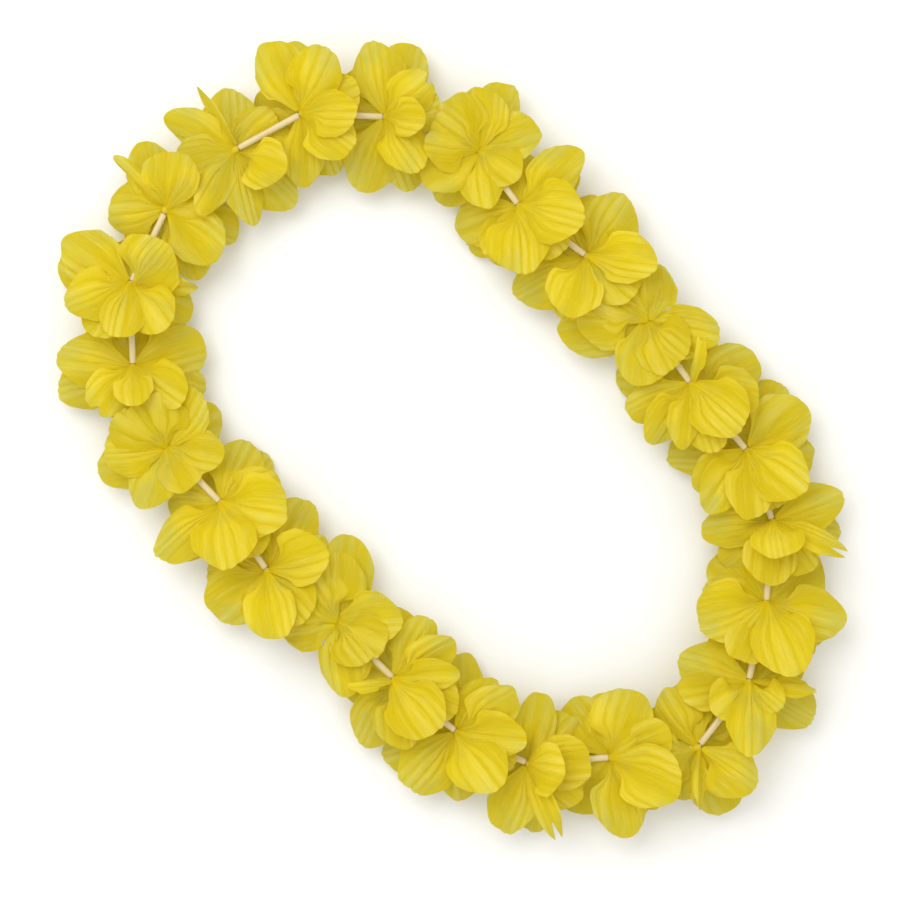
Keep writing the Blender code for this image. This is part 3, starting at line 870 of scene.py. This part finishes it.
def petal_cloth():
    cloth = Finish("petal_cloth")
    along, across = cloth.measure("along"), cloth.measure("across")
    ridge, tint, backing = cloth.measure("ridge"), cloth.measure("tint"), cloth.measure("backing")

    def drawn_out(rates, detail, roughness=0.5):
        """Noise at its own rates across and along the petal, and different from petal to petal."""
        place = cloth.point(across * rates[0], along * rates[1], tint * rates[2])
        return cloth.noise(place, 1.0, detail, roughness)

    # Streaks of the weave, used for painted crease light and shade and for the relief.
    weave_and_crease_streaks = drawn_out(STREAK_RATES, detail=3.0, roughness=0.6)
    clouds = drawn_out(CLOUD_RATES, detail=1.0)
    root = (1.0 - along) * (1.0 - along)
    # Deeper dye at the middle and on some petals, and a painted fuller yellow where layers stack.
    dye_and_painted_depth = root * DEEP_AT_MIDDLE + backing * PAINTED_DEPTH_WHERE_STACKED + tint * DEEP_BY_PETAL
    colour = cloth.between(LEMON, DEEP_DYE_AND_PAINTED_STACK_LIGHT, dye_and_painted_depth)
    # Painted see-through shade where the cloth lies alone, more of it towards the rim.
    colour = cloth.between(PAINTED_LONE_LAYER_SHADE, colour, backing * PAINTED_STACK_LIGHT_SHARE + (1.0 - PAINTED_STACK_LIGHT_SHARE) * (1.0 - along))
    # Painted highlight on the backs of the swells, broken by mottled clouds and stronger towards the rim.
    colour = cloth.between(colour, PALE_WEAVE_AND_PAINTED_HIGHLIGHT, ridge * clouds * along * PAINTED_HIGHLIGHT_ON_SWELLS)
    # Creases darkened: partly deeper dye, partly painted shade.
    crease_dye_and_shade = (1.0 - ridge) * (1.0 - ridge) * (1.0 - ridge)
    colour = cloth.between(colour, DARK_DYE_AND_PAINTED_SHADE, crease_dye_and_shade * CREASE_DYE_AND_PAINTED_SHADE)
    # Dark and pale streaks: the weave, with painted shade and light of fine creases.
    colour = cloth.between(colour, DARK_DYE_AND_PAINTED_SHADE, (DARK_BELOW - weave_and_crease_streaks) * DARK_STREAKS_AND_PAINTED_SHADE)
    colour = cloth.between(colour, PALE_WEAVE_AND_PAINTED_HIGHLIGHT, (weave_and_crease_streaks - PALE_ABOVE) * PALE_STREAKS_AND_PAINTED_LIGHT)
    relief = cloth.bump(weave_and_crease_streaks, distance=0.0004, strength=0.7)
    face = cloth.node("ShaderNodeBsdfPrincipled", sockets={
        "Base Color": colour, "Roughness": 0.65, "Specular IOR Level": 0.1, "Sheen Weight": 0.04,
        "Normal": relief,
    })
    through = cloth.node("ShaderNodeBsdfTranslucent", sockets={"Color": GLOW})
    return cloth.surface(cloth.node("ShaderNodeMixShader", sockets={0: PETAL_GLOW, 1: face, 2: through}))


PETAL_CLOTH = petal_cloth()
print("petal cloth of", len(PETAL_CLOTH.node_tree.nodes), "nodes")

# %% Make the blossoms
faces_made = 0
for i in range(count):
    node = f"blossom_{i + 1:02d}"
    bloom = blossom_mesh(node + "_cloth", i, PETAL_CLOTH)
    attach(bloom, "root")
    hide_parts(node)
    faces_made += len(bloom.data.polygons)
print(count, "blossoms with", faces_made, "faces")

# %% [markdown]
# ## Straws
#
# Each spacer is a length of drinking straw, cut square, thin-walled and milky. A Blender cylinder is solid,
# so the straw is turned from its wall's section instead: out along the outside, over the cut end, back
# along the bore, with the cut's two corners a little rounded.

# %% Straws
HUB_THICK = 3.4
TUBE_OUTER = 3.2
TUBE_INNER = 2.2
TUBE_SIDES = 28
TUBE_CORNER = 0.12
CORNER_CUT = 0.3
TUBE_STEPS = 8
GAP = 0.3


def straw_ends(i):
    """The two ends of the straw from blossom i to the next, clear of both blossoms' middles."""
    first, second = middles[i], middles[(i + 1) % count]
    along = unit(second - first)
    ends = []
    for place, middle, way in ((i, first, 1.0), ((i + 1) % count, second, -1.0)):
        bend = math.acos(min(1.0, float(along @ string_way(place))))
        back = (HUB_THICK / 2 + GAP + TUBE_OUTER / 2 * math.sin(bend)) / math.cos(bend)
        ends.append(middle + along * (way * back))
    return ends[0], ends[1], along


def straw_section(length):
    """(place along, radius) round the wall, starting at the outside of the near end."""
    outer, inner, corner = TUBE_OUTER / 2, TUBE_INNER / 2, TUBE_CORNER
    bevel = corner * CORNER_CUT
    outside = [(corner + (length - 2 * corner) * k / TUBE_STEPS, outer) for k in range(TUBE_STEPS + 1)]
    inside = [(x, inner) for x, _ in reversed(outside)]
    near = [(bevel, inner + bevel), (0.0, inner + corner), (0.0, outer - corner), (bevel, outer - bevel)]
    far = [(length - x, r) for x, r in reversed(near)]
    return outside + far + inside + near


# %% [markdown]
# The straw's plastic is milky: a little cloudy in its colour, lightly scuffed, and glossy enough for a soft
# shine along its top. Subsurface scattering is the usual way to show milky plastic, but it is meant for
# thick things. This wall is half a millimetre thin, so it gets the same two shaders as the cloth.

# %% Straw plastic
STRAW_CREAM = srgb(246, 232, 186)
STRAW_SHADE = srgb(232, 214, 150)
CLOUDINESS = 0.8
SMOOTHEST, SCUFFING = 0.22, 0.2
STRAW_GLOW = 0.35


def straw_plastic():
    plastic = Finish("straw_plastic")
    place = plastic.node("ShaderNodeTexCoord", output="Object")
    milk = plastic.noise(place, scale=120.0)
    scuff = plastic.noise(place, scale=900.0)
    colour = plastic.between(STRAW_CREAM, STRAW_SHADE, milk * CLOUDINESS)
    face = plastic.node("ShaderNodeBsdfPrincipled", sockets={
        "Base Color": colour, "Roughness": SMOOTHEST + SCUFFING * scuff,
        "Coat Weight": 0.3, "Coat Roughness": 0.15,
        "Normal": plastic.bump(scuff, distance=0.00004, strength=0.4),
    })
    through = plastic.node("ShaderNodeBsdfTranslucent", sockets={"Color": STRAW_CREAM})
    return plastic.surface(plastic.node("ShaderNodeMixShader", sockets={0: STRAW_GLOW, 1: face, 2: through}))


STRAW_PLASTIC = straw_plastic()
print("straw plastic of", len(STRAW_PLASTIC.node_tree.nodes), "nodes")

# %% Make the straws
for i in range(count):
    near_end, far_end, straw_way = straw_ends(i)
    straw_length = float(np.linalg.norm(far_end - near_end))
    straw_points, straw_faces = turned_about(straw_section(straw_length), near_end, straw_way, TUBE_SIDES)
    straw = mesh_object(f"straw_{i + 1:02d}", straw_points, straw_faces, STRAW_PLASTIC)
    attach(straw, "root")
    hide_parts(f"spacer_tube_{i + 1:02d}")
print(count, "straws, the last one", round(straw_length, 1), "mm long")

# %% [markdown]
# ## The string
#
# Next to nothing of the string shows, but the lei would fall apart without it, so it is made as carefully as
# the rest: three thin plies twisted together, through every straw and blossom and back to where it began. A
# Blender curve with a round bevel would be one smooth wire. Here each ply is a tube of its own that winds
# round the string's line, and a whole number of twists fits the loop, so that each ply meets its beginning.

# %% The string's route
STRING_BEND = 4.0


def string_route():
    """The string's corners: it runs straight through each blossom, then bends into the next straw."""
    corners = []
    for i, middle in enumerate(middles):
        before = unit(middle - middles[i - 1])
        after = unit(middles[(i + 1) % count] - middle)
        way = string_way(i)
        corners += [middle - before * STRING_BEND, middle - way * (HUB_THICK / 2),
                    middle + way * (HUB_THICK / 2), middle + after * STRING_BEND]
    return np.array(corners)


def evenly_spaced(corners, spacing):
    """Points along a closed line of corners, close to spacing apart."""
    closed = np.vstack((corners, corners[:1]))
    lengths = np.linalg.norm(np.diff(closed, axis=0), axis=1)
    walked = np.concatenate(([0.0], np.cumsum(lengths)))
    steps = int(walked[-1] / spacing)
    at = np.linspace(0.0, walked[-1], steps, endpoint=False)
    return np.stack([np.interp(at, walked, closed[:, k]) for k in range(3)], axis=1), walked[-1]


# %% Twisted plies
STRING_THICK = 1.0
PLIES = 3
PLY_THICK = 0.46
PLY_SIDES = 6
TWIST_LENGTH = 6.0
STEPS_A_TWIST = 8


def string_mesh(name, finish):
    """The plies as one mesh object: each is a thin tube that winds round the string's line."""
    line, length = evenly_spaced(string_route(), TWIST_LENGTH / STEPS_A_TWIST)
    steps = len(line)
    along = np.roll(line, -1, axis=0) - np.roll(line, 1, axis=0)
    along /= np.linalg.norm(along, axis=1, keepdims=True)
    right = np.stack((-along[:, 1], along[:, 0], np.zeros(steps)), axis=1)
    up = np.array((0.0, 0.0, 1.0))
    turns = round(length / TWIST_LENGTH)
    points, faces = [], []
    for ply in range(PLIES):
        angle = 2.0 * np.pi * (turns * np.arange(steps) / steps + ply / PLIES)
        reach = (STRING_THICK - PLY_THICK) / 2
        centre = line + reach * (np.cos(angle)[:, None] * right + np.sin(angle)[:, None] * up)
        side = 2.0 * np.pi * np.arange(PLY_SIDES) / PLY_SIDES
        ring = np.cos(side)[None, :, None] * right[:, None] + np.sin(side)[None, :, None] * up
        points.append((centre[:, None] + PLY_THICK / 2 * ring).reshape(-1, 3))
        faces.append(ring_faces(steps, PLY_SIDES)[:, ::-1] + ply * steps * PLY_SIDES)
    print("string", round(length), "mm round, with", turns, "twists")
    return mesh_object(name, np.concatenate(points), np.concatenate(faces), finish)


# %% [markdown]
# Cotton is matt, a little uneven in its white, and fluffy under a lens. The fluff could be grown as hair, but
# at this size no hair would be seen. A fine noise in the colour and the relief does instead, with some sheen.


# %% Cotton
FLUFF_SCALE = 4000.0


def cotton():
    thread = Finish("cotton_thread")
    place = thread.node("ShaderNodeTexCoord", output="Object")
    fluff = thread.noise(place, FLUFF_SCALE)
    colour = thread.between(srgb(236, 232, 222), srgb(206, 200, 184), fluff)
    return thread.surface(thread.node("ShaderNodeBsdfPrincipled", sockets={
        "Base Color": colour, "Roughness": 0.85, "Sheen Weight": 0.2,
        "Normal": thread.bump(fluff, distance=0.00005, strength=0.6),
    }))


string = string_mesh("twisted_string", cotton())
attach(string, "root")
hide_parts("string_loop")

# %% [markdown]
# ## Table, light and colour
#
# The photograph shows the lei on plain white, under very soft light. A panorama of a real studio could light
# it, but an even white sky and one large lamp are easier to steer. The lamp is high on the picture's upper
# left, which gives just enough direction to show the pleats. A wide pale floor takes a soft shadow, so that
# the lei lies on something. The plain view transform keeps the dye's full strength.

# %% Floor
FLOOR_HALF = 3000.0
FLOOR_DROP = 0.15


def floor_paint():
    paint = Finish("pale_floor")
    grain = paint.noise(paint.node("ShaderNodeTexCoord", output="Object"), scale=40.0, detail=3.0)
    colour = paint.between(srgb(246, 246, 244), srgb(242, 242, 240), grain)
    return paint.surface(paint.node("ShaderNodeBsdfPrincipled", sockets={
        "Base Color": colour, "Roughness": 0.8, "Specular IOR Level": 0.1,
    }))


floor_corners = np.array(((-1, -1), (1, -1), (1, 1), (-1, 1))) * FLOOR_HALF
floor_points = np.column_stack((floor_corners, np.full(4, -FLOOR_DROP)))
floor = mesh_object("floor", floor_points, np.array([(0, 1, 2, 3)]), floor_paint())
print("floor", FLOOR_DROP, "mm under the lei")

# %% Lights
world = bpy.data.worlds.new("studio")
world.use_nodes = True
sky = world.node_tree.nodes["Background"]
sky.inputs["Color"].default_value = (1.0, 1.0, 1.0, 1.0)
sky.inputs["Strength"].default_value = 1.0
bpy.context.scene.world = world


def soft_lamp(name, toward, away, size, power):
    """A square lamp aimed at the lei's middle, from a side given as right, up and out of the picture."""
    turned = Vector(toward).normalized()
    turned.rotate(camera.rotation_euler)
    lamp_data = bpy.data.lights.new(name, "AREA")
    lamp_data.shape = "SQUARE"
    lamp_data.size = size
    lamp_data.energy = power
    lamp = bpy.data.objects.new(name, lamp_data)
    lamp.location = turned * away
    lamp.rotation_euler = (-turned).to_track_quat("-Z", "Y").to_euler()
    bpy.context.scene.collection.objects.link(lamp)
    print(name, [round(place, 2) for place in lamp.location], "metres")


soft_lamp("key_lamp", (-0.5, 0.6, 1.2), away=2.0, size=1.4, power=16.0)

bpy.context.scene.view_settings.view_transform = "Standard"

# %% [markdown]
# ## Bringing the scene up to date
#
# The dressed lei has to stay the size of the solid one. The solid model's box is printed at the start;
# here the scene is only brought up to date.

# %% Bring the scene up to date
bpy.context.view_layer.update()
